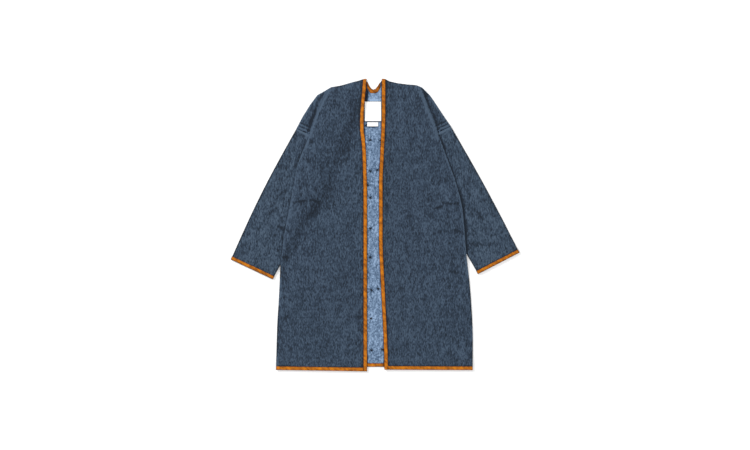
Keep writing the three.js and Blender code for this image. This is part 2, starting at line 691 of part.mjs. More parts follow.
function add(name, geometry, finish) {
  const mesh = new THREE.Mesh(geometry, new THREE.MeshStandardMaterial(materials[finish]));
  mesh.name = name;
  coat.add(mesh);
}

const back = backRows();
add("back", sheet(back, CLOTH), "outer");
add("back_lining", lining(back), "lining");
add("binding_neck", neckTape(back), "tape");
add("binding_hem_back", backHemTape(back), "tape");
for (const name of Object.keys(HALVES)) {
  const rows = frontRows(name);
  const rings = sleeveRings(name);
  add(`front_${name}`, front(name, rows), "outer");
  add(`sleeve_${name}`, sleeve(rings), "outer");
  add(`binding_front_${name}`, frontTape(name, rows), "tape");
  add(`binding_hem_${name}`, hemTape(name, rows), "tape");
  add(`binding_cuff_${name}`, cuffTape(rings), "tape");
}
for (const size of LABELS) add(size.name, label(size), "label");

export default coat;
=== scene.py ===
"""Kimono coat laid flat: crinkled quilted cloth, bound edges, lining with its knots, labels and stitches.

Sizes and places are in millimetres. X runs to the viewer's right, Y to the neck and Z up from the floor.
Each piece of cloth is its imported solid's own form, divided finely and given its creases.
"""

import math

import bpy
import numpy as np
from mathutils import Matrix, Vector, kdtree
from mathutils.bvhtree import BVHTree


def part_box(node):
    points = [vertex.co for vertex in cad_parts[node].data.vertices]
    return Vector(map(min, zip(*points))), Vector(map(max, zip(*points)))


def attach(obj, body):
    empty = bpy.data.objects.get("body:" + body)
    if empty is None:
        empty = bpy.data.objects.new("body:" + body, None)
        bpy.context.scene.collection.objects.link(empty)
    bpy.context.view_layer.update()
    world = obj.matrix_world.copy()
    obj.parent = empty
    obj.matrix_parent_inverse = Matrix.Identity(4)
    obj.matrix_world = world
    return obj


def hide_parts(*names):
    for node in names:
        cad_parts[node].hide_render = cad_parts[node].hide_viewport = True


MM = 0.001
UP = Vector((0, 0, 1))
DOWN = Vector((0, 0, -1))
BODY = "root"

# How finely the cloth is divided, as the longest side of a triangle
FINE = 5.4  # where it shows
CLOSE_FINE = 2.9  # close to a narrow crease, a seam row or a knot
TAPE_FINE = 4.2
LINING_FINE = 4.8
LABEL_FINE = 2.6
BACK_FINE = 8.0
HIDDEN = 11.0  # where it is hidden

STEEP = 0.6  # an edge's normal rises less than this
FLAT = 0.75  # a flat face's normal rises more than this
UNDERSIDE = -0.5  # an underside's normal falls below this
EDGE_SLOPE = 0.4  # a face whose normal rises less than this is divided as finely as what shows
COVER_ROUNDS = 5  # how often the shade of what lies over a piece is spread to its neighbours
COVERED = 0.05  # a point with more of that shade isn't smoothed
RAY_START = 0.03  # how far off a surface a ray starts, so that it doesn't meet that surface
RIM_START = 0.1  # and how far off an edge
SKIN_STEP = 0.02  # how far past one skin of cloth the next one is looked for
MOST_SKINS = 6
ABOVE_ALL = 60  # a height over the whole coat

# The cloth's edges in painted shade: the width and tone of an outer edge, painted dark, and of an edge that
# lies on other cloth, painted pale as a highlight on a folded panel. Then the painted shadow that what lies
# over a piece casts, and the painted shade of the whole piece
PANEL_RIMS = {"outer": (5, 1.6), "lying": (12, -0.7), "cast": 1.4, "whole": 0}
SLEEVE_RIMS = {
    # the front's fold casts a lighter painted shadow on the left sleeve, which faces the key lamp, than on
    # the right
    "left": {"outer": (5, 1.6), "lying": (14, -0.9), "cast": 0.5, "whole": 0},
    "right": {"outer": (5, 1.6), "lying": (14, -0.9), "cast": 1.8, "whole": 0},
}
PLAIN_RIMS = {"outer": (5, 1.6), "lying": (5, 0), "cast": 1.4, "whole": 0}
TAPE_RIMS = {"outer": (2.8, 0.7), "lying": (2.4, 0.4), "cast": 1.4, "whole": 0}
# a cuff's outer edge is painted darker, as the shade of its rounded edge that turns from the light
CUFF_RIMS = {"outer": (3.6, 1.2), "lying": (2.4, 0.3), "cast": 1.4, "whole": 0}
# the neck tape lies low between the raised fronts, so the whole of it is painted in shade
NECK_RIMS = {"outer": (3, 0.5), "lying": (4, 0.6), "cast": 1.4, "whole": 0.8}

# Where the sleeves lie: the outer end of the drop seam, the underarm and the two ends of the cuff
SLEEVES = {
    "left": {"seam": (-284, 348), "arm": (-121, 271), "cuff": (-521, -124.5), "inner": (-369.5, -196)},
    "right": {"seam": (272.5, 356), "arm": (112, 275), "cuff": (520, -99.5), "inner": (370.5, -177)},
}
SEAM_ROWS = (-25, -13, -2)  # rows of stitches along the drop seam, measured down the sleeve
SEAM_ROW_SHOWN = 78  # length of the seam that the front leaves bare
SHOULDER_TOP = 9.9  # the shoulder beyond the front's fold lies lower than this
ROW_GAP = 5.5  # from a row of stitches to the padding beside it

# How far the stitches lie from the edge of a tape, from the end of a cuff and from the edge of a label, and
# how far from the end of the drop seam they start
TAPE_STITCH = 2.2
CUFF_STITCH = 10.4
LABEL_STITCH = 1.5
SEAM_STITCH = 3

THREAD_SIDES = 6
THREAD_TIP = 0.45  # how thick a thread's ends are, as a share of the thread
LINING_TOP = 3.5  # where a knot lies if nothing is found under it

# The crinkles of the washed cloth, by their size across and along the grain: how they wander, broad and
# narrow crests, the pillows between them, and the areas where they are strong
WANDER, SMALL_WANDER = (50, 36), (15, 12)
BROAD_CREST, NARROW_CREST = (9.5, 33), (6.2, 16)
PILLOW = (22, 34)
STRENGTH = (80, 110)

# How high the cloth stands over its solid between its crinkles, and how high a tape's crown stands
OUTER_LIFT = 0.7
BACK_LIFT = 0.3
LINING_LIFT = 0.35
TAPE_CROWN = 0.55

# The seed of each piece's random numbers
SEEDS = {"front": 11, "sleeve": 21, "tape": 31, "neck": 47, "back": 55, "rows": 61, "lining": 71, "label": 91}
SEED_STEP = 20  # from the left side's fronts and sleeves to the right side's

# Creases of the cloth, as soft troughs (a rise below nought) and ridges, each along a few places. The mark is
# the share of the rise that also shows in the colour, as painted shade in a trough and painted light on a
# ridge
CREASES = {
    "front_left": [
        {
            "way": [(-56, 462), (-84, 341), (-150, 224), (-172, 119), (-236, 43)],
            "width": 26, "rise": -1.6, "mark": 0.4,
        },
        {"way": [(-236, 43), (-288, -40), (-322, -105)], "width": 20, "rise": -1.0, "mark": 0.5},
        {"way": [(-250, -40), (-262, -185)], "width": 22, "rise": -0.9},
        {"way": [(-205, 165), (-236, 110)], "width": 24, "rise": 1.5},
        {"way": [(-285, 84), (-252, 87)], "width": 3.6, "rise": -1.2, "mark": 1.3},
        {"way": [(-233, 90), (-219, 87), (-204, 83)], "width": 3.6, "rise": -1.2, "mark": 1.3},
        {"way": [(-214, 77), (-220, 26)], "width": 7, "rise": -1.0, "mark": 0.4},
        {"way": [(-322, -18), (-309, -25)], "width": 4, "rise": -1.2, "mark": 1.3},
        {"way": [(-342, -115), (-316, -118)], "width": 4, "rise": -1.2, "mark": 1.6},
        {"way": [(-338, -338), (-318, -333)], "width": 7, "rise": -1.3},
        {"way": [(-72, -331), (-52, -334)], "width": 8, "rise": -1.1},
        {"way": [(-335, -338), (-200, -333), (-60, -338)], "width": 6, "rise": 0.7, "mark": 0.2},
        {"way": [(-230, 95), (-140, 92), (-60, 97)], "width": 6, "rise": 0.6, "mark": 0.2},
        {"way": [(-96, 430), (-128, 300), (-140, 190)], "width": 12, "rise": 0.8},
        {"way": [(-150, -60), (-128, -240), (-142, -430)], "width": 15, "rise": 0.8},
        {"way": [(-232, -190), (-246, -330), (-226, -450)], "width": 13, "rise": 0.9},
        {"way": [(-70, 40), (-78, -90), (-66, -210)], "width": 12, "rise": -0.7},
        {"way": [(-228, 374), (-234, 350), (-244, 318)], "width": 8, "rise": -1.3},
        {"way": [(-120, 485), (-124, 440)], "width": 9, "rise": 0.6},
        # along the left front's fold: painted shade in narrow troughs and a painted highlight on the fold's
        # ridge
        {"way": [(-182, 484), (-201, 448), (-213, 418)], "width": 5, "rise": -1.0, "mark": 0.7},
        {"way": [(-216, 411), (-239, 345), (-258, 288)], "width": 5.5, "rise": -1.4, "mark": 1.8},
        {
            "way": [(-172, 480), (-191, 443), (-206, 408), (-230, 344), (-251, 284)],
            "width": 4.5, "rise": 1.1, "mark": 2.4,
        },
    ],
    "front_right": [
        {"way": [(40, 455), (44, 400)], "width": 10, "rise": -1.5},
        {"way": [(84, 462), (104, 455)], "width": 7, "rise": -1.3},
        {"way": [(60, 470), (58, 300), (52, 180)], "width": 16, "rise": -0.8},
        {"way": [(211, 58), (240, 67)], "width": 3.6, "rise": -1.2, "mark": 1.4},
        {"way": [(243, 80), (270, 76), (299, 79)], "width": 3.6, "rise": -1.2, "mark": 1.2},
        {"way": [(192, 88), (208, 85)], "width": 5, "rise": -1.0, "mark": 0.9},
        {"way": [(121, 33), (134, 30)], "width": 5, "rise": -0.8, "mark": 0.8},
        {"way": [(219, -22), (305, -24)], "width": 6, "rise": -1.2},
        {"way": [(272, -168), (315, -175)], "width": 5, "rise": -1.2, "mark": 0.6},
        {"way": [(42, 182), (43, 160)], "width": 7, "rise": -1.1},
        {"way": [(42, 78), (43, 58)], "width": 7, "rise": -1.1},
        {"way": [(42, -338), (43, -358)], "width": 8, "rise": -1.2},
        {"way": [(60, -335), (190, -340), (335, -334)], "width": 6, "rise": 0.7, "mark": 0.2},
        {"way": [(60, 93), (150, 96), (235, 88)], "width": 6, "rise": 0.6, "mark": 0.2},
        {"way": [(112, 440), (132, 300), (118, 170)], "width": 14, "rise": 1.0},
        {"way": [(178, 380), (214, 250), (236, 130)], "width": 14, "rise": -0.8},
        {"way": [(150, 20), (172, -140), (160, -300)], "width": 16, "rise": 1.0},
        {"way": [(262, -60), (284, -240), (268, -430)], "width": 14, "rise": 0.8},
        {"way": [(88, -90), (96, -250), (84, -420)], "width": 13, "rise": -0.8},
        {"way": [(222, 386), (240, 366)], "width": 8, "rise": -0.9},
        # along the right front's fold: painted shade in narrow troughs and a painted highlight on the fold's
        # ridge
        {
            "way": [(171, 493), (194, 427), (202, 409), (218, 373), (236, 311)],
            "width": 5, "rise": -1.4, "mark": 1.7,
        },
        {"way": [(173, 490), (186, 472)], "width": 6, "rise": -1.4, "mark": 2},
        {
            "way": [(160, 490), (171, 460), (191, 409), (206, 373), (226, 311)],
            "width": 4.5, "rise": 1, "mark": 1.8,
        },
        {"way": [(232, 324), (241, 298)], "width": 6, "rise": -1.2, "mark": 2},
    ],
    "sleeve_left": [
        {"way": [(-252, 300), (-272, 245), (-286, 214)], "width": 9, "rise": -1.2},
        {"way": [(-310, 300), (-330, 190), (-352, 90)], "width": 14, "rise": -1.0},
        {"way": [(-330, 225), (-372, 110), (-430, -40)], "width": 17, "rise": 1.1},
        {"way": [(-345, 60), (-392, 40)], "width": 8, "rise": -0.9},
        {"way": [(-400, -20), (-450, -52)], "width": 9, "rise": 0.7},
        {"way": [(-346, -5), (-328, -15)], "width": 5, "rise": -1.1, "mark": 1.5},
        {"way": [(-310, 128), (-345, 112)], "width": 6, "rise": -0.8, "mark": 0.9},
    ],
    "sleeve_right": [
        {"way": [(296, 306), (318, 200), (342, 96)], "width": 14, "rise": -1.0},
        {"way": [(330, 250), (376, 120), (432, -10)], "width": 17, "rise": 1.1},
        {"way": [(342, -66), (380, -74), (417, -69)], "width": 7, "rise": -1.2},
        {"way": [(398, 20), (452, 6)], "width": 9, "rise": 0.7},
        # the painted shadow that the front's fold casts on the sleeve, in a narrow trough
        {"way": [(303, 118), (317, 74), (324, -5), (331, -104)], "width": 4.5, "rise": -0.8, "mark": 2.6},
        {"way": [(346, 62), (372, 44), (388, 20)], "width": 6, "rise": -0.9, "mark": 0.9},
    ],
    "back_lining": [
        {"way": [(-40, 93), (20, 91)], "width": 5, "rise": 0.5},
        {"way": [(-36, -337), (28, -335)], "width": 5, "rise": 0.5},
        # a painted shadow that the raised left front casts on the lining, in a small trough
        {"way": [(-28, 512), (-29, 478), (-35, 444)], "width": 6, "rise": -1.6, "mark": 1.1},
        # a pale line of painted light above the main label, which offsets the painted shadow spread from the
        # label
        {"way": [(-16, 449.5), (22, 449.5)], "width": 4, "rise": 0.3, "mark": 3.5},
    ],
}

NARROW = 10  # a crease narrower than this has a mark and fine cloth round it
NARROW_MARK = 0.6  # its mark, unless it says another

# Knots that tack the lining to the quilted back, and the way that their tails point, in degrees. The plain
# one has no puckers round it
KNOTS = [
    (-19, 306, 25), (19.5, 306, 10), (-18.5, 195, 330), (7, 198.5, 20), (-28.5, 145.5, 300),
    (-18.5, 98, 15), (-18, -12, 345), (-19, -117, 20), (-14.5, -234, 315), (10, -230, 5),
    (-16, -337.5, 20), (-14.5, -451.5, 340), (26, -450, 15),
]
PLAIN_KNOTS = [(-33, 360, 250)]

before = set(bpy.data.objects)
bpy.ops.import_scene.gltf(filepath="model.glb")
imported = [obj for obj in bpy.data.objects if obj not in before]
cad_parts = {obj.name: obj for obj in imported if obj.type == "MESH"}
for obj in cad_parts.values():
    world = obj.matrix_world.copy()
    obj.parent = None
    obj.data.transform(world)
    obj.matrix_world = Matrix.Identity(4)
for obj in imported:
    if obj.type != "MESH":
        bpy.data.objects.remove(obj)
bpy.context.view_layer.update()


# Numbers


def soft(share):
    """0 below nought, 1 above one, and a soft step between."""
    t = np.clip(share, 0, 1)
    return t * t * (3 - 2 * t)


def mix(a, b, share):
    return a + (b - a) * share


def noise(across, along, seed):
    """Smooth noise from 0 to 1 over a lattice of one unit."""
    size = 256
    table = np.random.default_rng(seed).random((size, size))
    column, row = np.floor(across).astype(int), np.floor(along).astype(int)
    s, t = soft(across - column), soft(along - row)
    near = mix(table[row % size, column % size], table[row % size, (column + 1) % size], s)
    far = mix(table[(row + 1) % size, column % size], table[(row + 1) % size, (column + 1) % size], s)
    return mix(near, far, t)


def ridge(value):
    """A crest where smooth noise passes through its middle."""
    return (1 - np.abs(2 * value - 1)) ** 2


def crinkle(across, along, seed):
    """Washed crinkles that wander along the grain, in millimetres of height, about nought."""

    def swell(size, number, shift=0):
        return noise((across + shift) / size[0], along / size[1], seed + number)

    wander = 18 * (swell(WANDER, 0) - 0.5) + 8 * (swell(SMALL_WANDER, 1) - 0.5)
    broad = ridge(swell(BROAD_CREST, 2, wander))
    narrow = ridge(swell(NARROW_CREST, 3, 0.7 * wander))
    pillow = swell(PILLOW, 4, wander) - 0.5
    strength = 0.7 + 0.45 * swell(STRENGTH, 5)
    return strength * (0.6 * broad + 0.5 * narrow + 0.35 * pillow - 0.4)


def creases(name, points):
    """What a piece's own creases add to its height and, as painted shade and painted light, to its colour,
    and whether a narrow one is close.
    """
    height, painted_crease_shading, close = np.zeros(len(points)), np.zeros(len(points)), np.zeros(len(points), bool)
    for crease in CREASES.get(name, []):
        way = np.array(crease["way"], float)
        near = np.full(len(points), np.inf)
        for start, end in zip(way[:-1], way[1:]):
            run = end - start
            along = np.clip((points[:, :2] - start) @ run / (run @ run), 0, 1)
            gap = np.linalg.norm(points[:, :2] - start - along[:, None] * run, axis=1)
            near = np.minimum(near, gap)
        added = crease["rise"] * np.exp(-((near / crease["width"]) ** 2))
        height += added
        narrow = crease["width"] < NARROW
        painted_crease_shading += crease.get("mark", NARROW_MARK if narrow else 0) * added
        if narrow:
            close |= near < 2 * crease["width"]
    return height, painted_crease_shading, close


# Meshes


def node_mesh(name):
    """The corners, in millimetres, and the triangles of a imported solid."""
    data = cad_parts[name].data
    data.calc_loop_triangles()
    points = np.empty(3 * len(data.vertices))
    data.vertices.foreach_get("co", points)
    triangles = np.empty(3 * len(data.loop_triangles), int)
    data.loop_triangles.foreach_get("vertices", triangles)
    rounded = np.round(points.reshape(-1, 3) / MM, 3)
    corners, place = np.unique(rounded, axis=0, return_inverse=True)
    triangles = place.reshape(-1)[triangles].reshape(-1, 3)
    whole = (triangles != np.roll(triangles, 1, axis=1)).all(axis=1)
    return corners, triangles[whole]


def face_normals(points, triangles):
    a, b, c = (points[triangles[:, k]] for k in range(3))
    return np.cross(b - a, c - a) / 2


def corner_normals(points, triangles):
    normals = np.zeros_like(points)
    flat = face_normals(points, triangles)
    for k in range(3):
        np.add.at(normals, triangles[:, k], flat)
    return normals / np.maximum(np.linalg.norm(normals, axis=1, keepdims=True), 1e-12)


def sides(triangles):
    """The edges of the triangles, and the edge of each triangle's three sides."""
    pairs = np.sort(np.stack([triangles, np.roll(triangles, -1, axis=1)], axis=2).reshape(-1, 2), axis=1)
    count = triangles.max() + 1
    keys, place = np.unique(pairs[:, 0] * count + pairs[:, 1], return_inverse=True)
    return np.stack([keys // count, keys % count], axis=1), place.reshape(-1, 3)


def refined(points, triangles, limit):
    """Halves each side that is longer than the limit of its ends, until none is."""
    while True:
        edges, place = sides(triangles)
        reach = limit[edges].max(axis=1)
        long = np.linalg.norm(points[edges[:, 0]] - points[edges[:, 1]], axis=1) > reach
        if not long.any():
            return points, triangles, limit
        middle = np.full(len(edges), -1)
        middle[long] = len(points) + np.arange(long.sum())
        points = np.concatenate([points, points[edges[long]].mean(axis=1)])
        limit = np.concatenate([limit, reach[long]])
        cut = middle[place]
        count = (cut >= 0).sum(axis=1)
        first = np.where(count == 2, np.argmin(cut >= 0, axis=1) + 1, np.argmax(cut >= 0, axis=1))
        order = (first[:, None] + np.arange(3)) % 3
        corners = np.take_along_axis(triangles, order, axis=1)
        halves = np.take_along_axis(cut, order, axis=1)
        pieces = [triangles[count == 0]]
        layouts = {1: ["apc", "pbc"], 2: ["pbq", "apq", "aqc"], 3: ["apr", "pbq", "rqc", "pqr"]}
        for number, layout in layouts.items():
            chosen = count == number
            named = dict(zip("abcpqr", [*corners[chosen].T, *halves[chosen].T]))
            pieces += [np.stack([named[letter] for letter in letters], axis=1) for letters in layout]
        triangles = np.concatenate(pieces)


def averaged(values, edges, rounds, fixed=None):
    """Each point's value drawn towards the mean of its neighbours."""
    count = np.bincount(edges.reshape(-1), minlength=len(values))
    free = count > 0 if fixed is None else (count > 0) & ~fixed
    for _ in range(rounds):
        total = np.bincount(edges[:, 0], values[edges[:, 1]], len(values))
        total += np.bincount(edges[:, 1], values[edges[:, 0]], len(values))
        values = np.where(free, 0.4 * values + 0.6 * total / np.maximum(count, 1), values)
    return values


def blocked(points, tree, way):
    """Whether something lies over each point, or under it."""
    start = points + RAY_START * np.array(way)
    return np.array([tree.ray_cast(Vector(p), way)[0] is not None for p in start])


def tree_of(points, triangles):
    return BVHTree.FromPolygons(points.tolist(), triangles.tolist())


def gap_to(points, marks):
    """Distance from each point to the nearest mark, in the plane."""
    tree = kdtree.KDTree(len(marks))
    for index, mark in enumerate(marks):
        tree.insert((mark[0], mark[1], 0), index)
    tree.balance()
    return np.array([tree.find((p[0], p[1], 0))[2] for p in points])


def mesh_object(name, points, faces, materials, indices=None):
    """A shaded mesh object from millimetres."""
    data = bpy.data.meshes.new(name)
    data.from_pydata((np.asarray(points) * MM).tolist(), [], [list(face) for face in faces])
    data.shade_smooth()
    for material in materials:
        data.materials.append(material)
    if indices is not None:
        data.polygons.foreach_set("material_index", indices)
    piece = bpy.data.objects.new(name, data)
    bpy.context.scene.collection.objects.link(piece)
    return piece


SOLIDS = {name: node_mesh(name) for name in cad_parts}


def others_tree(name):
    """What all the other solids cover."""
    points, triangles, start = [], [], 0
    for other, (corners, faces) in SOLIDS.items():
        if other != name:
            points.append(corners)
            triangles.append(faces + start)
            start += len(corners)
    return tree_of(np.concatenate(points), np.concatenate(triangles))


def divided(corners, faces, own, others, relief, fine):
    """A solid's points and triangles, fine where it shows and finest close to what is small, and whether each
    point is in the coarse part."""
    flat = face_normals(corners, faces)
    centres = corners[faces].mean(axis=1)
    hidden = np.where(
        flat[:, 2] > 0,
        blocked(centres, own, UP) | blocked(centres, others, UP),
        blocked(centres, own, DOWN) | blocked(centres, others, DOWN),
    )
    slope = np.abs(flat[:, 2]) / np.maximum(np.linalg.norm(flat, axis=1), 1e-12)
    shown = np.zeros(len(corners), bool)
    shown[faces[~hidden | (slope < EDGE_SLOPE)].reshape(-1)] = True
    points, triangles, limit = refined(corners, faces, np.where(shown, fine, HIDDEN))
    close = relief(points)[2] & (limit <= fine)
    points, triangles, _ = refined(points, triangles, np.where(close, CLOSE_FINE, np.inf))
    added = np.zeros(len(points) - len(limit), bool)
    return points, triangles, np.concatenate([limit > fine, added])


def evened(heights, normals, edges, coarse, held, fine, smooth):
    """The heights with the facets of the flat faces smoothed away."""
    facing = np.sign(normals[:, 2]) * (np.abs(normals[:, 2]) > FLAT)
    same = edges[(facing[edges[:, 0]] == facing[edges[:, 1]]) & (facing[edges[:, 0]] != 0)]
    heights = averaged(heights, same, round((smooth / fine) ** 2), fixed=coarse | held)
    return averaged(heights, same, round((smooth / HIDDEN) ** 2), fixed=~coarse | held)


def rim_shade(points, rim, others, rims):
    """The painted shade near a piece's open edges, by what they lie on; a tone below nought paints them
    light.
    """
    on_cloth = blocked(rim, others, DOWN)
    shade = np.zeros(len(points))
    for part, kind in ((rim[~on_cloth], "outer"), (rim[on_cloth], "lying")):
        if len(part):
            width, tone = rims[kind]
            shade += tone * (1 - soft(gap_to(points, part) / width))
    return shade


def look_numbers(points, triangles, coarse, folded):
    """The look of each triangle: the second one inside a fold, or on the upper face of a single piece."""
    down = face_normals(points, triangles)[:, 2] < 0
    if not folded:
        return (~down).astype(int)
    above = np.zeros(len(triangles), int)
    asked = down | coarse[triangles].any(axis=1)
    above[asked] = stacked(points[triangles[asked]].mean(axis=1), tree_of(points, triangles))
    return np.where(down, above == 1, above == 2).astype(int)


def shell(
    name, relief, looks, fine=FINE, ramp=12, deepest=1.1, dents=0.0, smooth=17, folded=True, rims=PANEL_RIMS
):
    """A piece of cloth on its solid's form, with relief where it shows from above.

    The relief fades towards the piece's edges and under its neighbours. A piece that rests on the floor has
    dents in its underside too. A folded piece shows its second look inside the fold, and a single one on its
    upper face. The rims give the painted shade of its edges, pale as painted light where a panel's edge lies
    on cloth, the painted shadow of what lies over it and the painted shade of the whole piece.
    """
    corners, faces = SOLIDS[name]
    own, others = tree_of(corners, faces), others_tree(name)
    points, triangles, coarse = divided(corners, faces, own, others, relief, fine)
    normals = corner_normals(points, triangles)
    edges, _ = sides(triangles)
    under_others = blocked(points, others, UP)
    covered = averaged(under_others.astype(float), edges, COVER_ROUNDS)
    points[:, 2] = evened(points[:, 2], normals, edges, coarse, covered > COVERED, fine, smooth)

    steep = np.flatnonzero(np.abs(normals[:, 2]) < STEEP)
    rim = steep[~blocked(points[steep] + RIM_START * normals[steep], own, UP)]
    inwards = gap_to(points, points[rim])
    mask = soft(inwards / ramp)
    height, fade_and_painted_shade, _ = relief(points)
    top = ~blocked(points, own, UP) & (normals[:, 2] > 0)
    underside = normals[:, 2] < UNDERSIDE
    offset = np.where(top, mask * (1 - soft(1.6 * covered)) * np.maximum(height, -deepest), 0)
    if dents:
        lowest = ~blocked(points, own, DOWN) & underside
        offset += np.where(lowest, dents * mask * soft(0.5 + 0.4 * height), 0)
    # Painted shadow that what lies over the piece casts on its upper face, and painted shade over the whole
    # piece
    shade = rims["whole"] + rims["cast"] * soft(2.2 * covered) * ~underside
    shade += rim_shade(points, points[rim[~under_others[rim]]], others, rims)
    points[:, 2] += offset

    numbers = look_numbers(points, triangles, coarse, folded) if len(looks) > 1 else None
    piece = mesh_object(name.replace("binding", "tape") + "_cloth", points, triangles, looks, numbers)
    # Stored for the colour: the relief's tone, partly faded cloth and partly painted light and shade, taken
    # to nought near the edges, which paints a tape's edges darker as shade; then the painted shade
    for attribute, values in (("fade_and_painted_shade", fade_and_painted_shade * soft(inwards / (0.3 * ramp))), ("shade", shade)):
        layer = piece.data.attributes.new(attribute, "FLOAT", "POINT")
        layer.data.foreach_set("value", values.astype(np.float32))
    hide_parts(name)
    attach(piece, BODY)
    return piece


def stacked(points, tree):
    """How many skins of a piece lie over each point."""
    found = []
    for point in points:
        start, count = Vector(point) + SKIN_STEP * UP, 0
        while count < MOST_SKINS:
            hit = tree.ray_cast(start, UP)[0]
            if hit is None:
                break
            start, count = hit + SKIN_STEP * UP, count + 1
        found.append(count)
    return np.array(found)


# Materials


class Nodes:
    """A material's node tree, built node by node."""

    def __init__(self, name, roughness, sheen=0.0):
        self.material = bpy.data.materials.new(name)
        self.material.use_nodes = True
        self.tree = self.material.node_tree
        self.shader = self.tree.nodes["Principled BSDF"]
        self.shader.inputs["Roughness"].default_value = roughness
        self.shader.inputs["Specular IOR Level"].default_value = 0.25
        self.shader.inputs["Sheen Weight"].default_value = sheen
        self.shader.inputs["Sheen Roughness"].default_value = 0.5
        self.place = self.add("ShaderNodeTexCoord").outputs["Object"]

    def add(self, kind, inputs=None, **settings):
        node = self.tree.nodes.new(kind)
        for key, value in settings.items():
            setattr(node, key, value)
        for key, value in (inputs or {}).items():
            if isinstance(value, bpy.types.NodeSocket):
                self.tree.links.new(value, node.inputs[key])
            else:
                node.inputs[key].default_value = value
        return node

    def stretched(self, scale, turn=0.0):
        """The place, turned about Z and scaled along each axis."""
        rotation = (0, 0, math.radians(turn))
        node = self.add("ShaderNodeMapping", {"Vector": self.place, "Scale": scale, "Rotation": rotation})
        return node.outputs["Vector"]

    def speckle(self, scale, turn=0.0, detail=2.0):
        vector = self.stretched(scale, turn)
        inputs = {"Vector": vector, "Scale": 1.0, "Detail": detail, "Roughness": 0.6}
        return self.add("ShaderNodeTexNoise", inputs).outputs["Fac"]

    def stripes(self, per_metre, turn, distortion=0.6):
        vector = self.stretched((per_metre, per_metre, per_metre), turn)
        inputs = {"Vector": vector, "Scale": 1.0, "Distortion": distortion, "Detail": 1.0}
        return self.add("ShaderNodeTexWave", inputs, bands_direction="X").outputs["Fac"]

    def painted(self, name, share):
        """A share of what the mesh stores under a name at each point."""
        stored = self.add("ShaderNodeAttribute", attribute_name=name).outputs["Fac"]
        return self.math("MULTIPLY", stored, share)

    def total(self, *parts):
        value = parts[0]
        for part in parts[1:]:
            value = self.math("ADD", value, part)
        return value

    def ramp(self, value, stops):
        node = self.add("ShaderNodeValToRGB", {"Fac": value})
        band = node.color_ramp
        while len(band.elements) < len(stops):
            band.elements.new(0.5)
        for element, (position, color) in zip(band.elements, stops):
            element.position = position
            element.color = (*color, 1)
        return node.outputs["Color"]

    def blend(self, share, first, second):
        node = self.add("ShaderNodeMix", data_type="RGBA", blend_type="MIX")
        for socket, value in zip([node.inputs[0], node.inputs[6], node.inputs[7]], [share, first, second]):
            if isinstance(value, bpy.types.NodeSocket):
                self.tree.links.new(value, socket)
            else:
                socket.default_value = value
        return node.outputs[2]

    def math(self, kind, first, second):
        node = self.add("ShaderNodeMath", operation=kind)
        for socket, value in zip(node.inputs, [first, second]):
            if isinstance(value, bpy.types.NodeSocket):
                self.tree.links.new(value, socket)
            else:
                socket.default_value = value
        return node.outputs[0]

    def finish(self, color, bumps):
        self.tree.links.new(color, self.shader.inputs["Base Color"])
        normal = None
        for height, distance, strength in bumps:
            inputs = {"Height": height, "Distance": distance * MM, "Strength": strength}
            if normal is not None:
                inputs["Normal"] = normal
            normal = self.add("ShaderNodeBump", inputs).outputs["Normal"]
        self.tree.links.new(normal, self.shader.inputs["Normal"])
        return self.material


def denim(name, grain, dark, middle, light):
    """Washed indigo cotton: faded crests and dark hollows, partly painted light and shade, painted shade at
    edges, slubbed yarns along the grain and a fine twill.
    """
    nodes = Nodes(name, roughness=0.92, sheen=0.03)
    streaks = nodes.speckle((340, 60, 60), grain, detail=3.0)
    wrinkle = nodes.speckle((290, 110, 110), grain, detail=2.0)
    cross = nodes.speckle((255, 110, 110), grain + 30, detail=2.0)
    across = nodes.speckle((255, 110, 110), grain - 30, detail=2.0)
    patches = nodes.speckle((16, 8, 8), grain, detail=3.0)
    value = nodes.total(
        # the relief's tone, partly faded crests and partly painted light and shade, then the painted shade of
        # edges and covers
        nodes.painted("fade_and_painted_shade", 0.13),
        nodes.painted("shade", -0.16),
        nodes.math("MULTIPLY", streaks, 0.42),
        nodes.math("MULTIPLY", wrinkle, 0.5),
        nodes.math("MULTIPLY", cross, 0.33),
        nodes.math("MULTIPLY", across, 0.33),
        nodes.math("MULTIPLY", patches, 0.06),
    )
    color = nodes.ramp(value, [(0.685, dark), (0.82, middle), (0.955, light)])
    twill = nodes.stripes(1500, grain + 63)
    color = nodes.blend(0.12, color, nodes.ramp(twill, [(0.2, dark), (0.8, light)]))
    bumps = [(wrinkle, 2.6, 1.0), (cross, 1.4, 0.8), (streaks, 0.7, 0.6), (twill, 0.15, 0.35)]
    return nodes.finish(color, bumps)


def chambray(name):
    """Light blue lining: white and blue yarns that cross, with blotches, crests painted pale and hollows
    painted in shade.
    """
    nodes = Nodes(name, roughness=0.9, sheen=0.03)
    blotches = nodes.speckle((215, 165, 165), 0, detail=3.0)
    patches = nodes.speckle((26, 16, 16), 0, detail=2.0)
    warp = nodes.speckle((900, 60, 60), 0, detail=2.0)
    weft = nodes.speckle((60, 900, 60), 0, detail=2.0)
    value = nodes.total(
        # the relief's tone, painted pale on crests and in shade in hollows, then the painted shade of edges
        # and covers
        nodes.painted("fade_and_painted_shade", 0.22),
        nodes.painted("shade", -0.2),
        nodes.math("MULTIPLY", blotches, 0.7),
        nodes.math("MULTIPLY", patches, 0.2),
        nodes.math("MULTIPLY", nodes.math("ADD", warp, weft), 0.1),
    )
    deep, blue, pale = (0.008, 0.014, 0.03), (0.04, 0.074, 0.132), (0.265, 0.375, 0.54)
    stops = [(0.24, deep), (0.41, blue), (0.55, (0.122, 0.188, 0.292)), (0.69, pale)]
    color = nodes.ramp(value, stops)
    return nodes.finish(color, [(blotches, 1.6, 0.8), (warp, 0.12, 0.4), (weft, 0.12, 0.4)])


